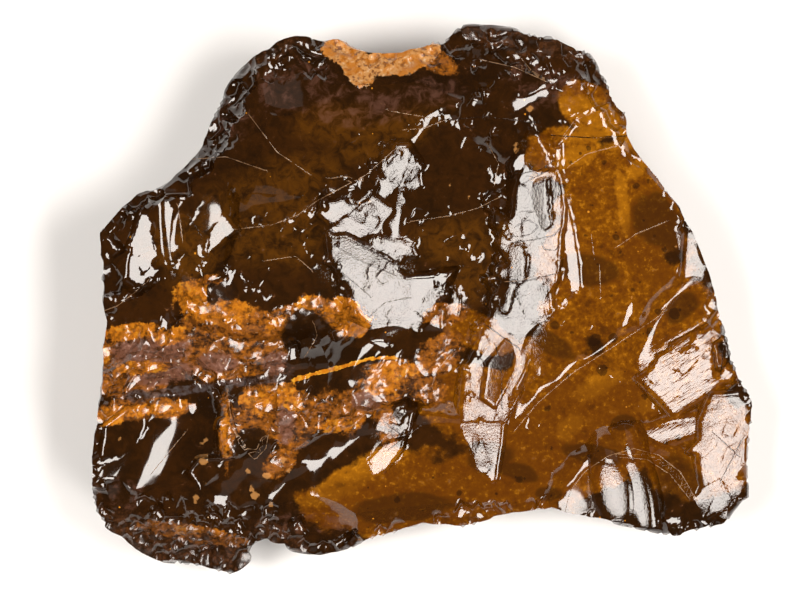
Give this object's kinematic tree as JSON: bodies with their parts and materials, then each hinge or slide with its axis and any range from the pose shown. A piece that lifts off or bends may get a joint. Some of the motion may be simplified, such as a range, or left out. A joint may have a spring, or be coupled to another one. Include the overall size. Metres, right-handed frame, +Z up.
{
  "type": "rough opal",
  "caption": "Broken lump of rough brown and amber opal, glassy flake scars with sharp ridges and a band of weathered crust, lying on a flat break.",
  "frame": {"origin": "on the resting face, under the middle of the lump's length and width", "axes": "+X along the lump's length, +Y across it, +Z up from the resting face"},
  "size_m": [0.0582, 0.0484, 0.0188],
  "materials": {
    "opal": "glossy"
  },
  "bodies": {
    "root": {"opal": "opal"}
  },
  "joints": []
}
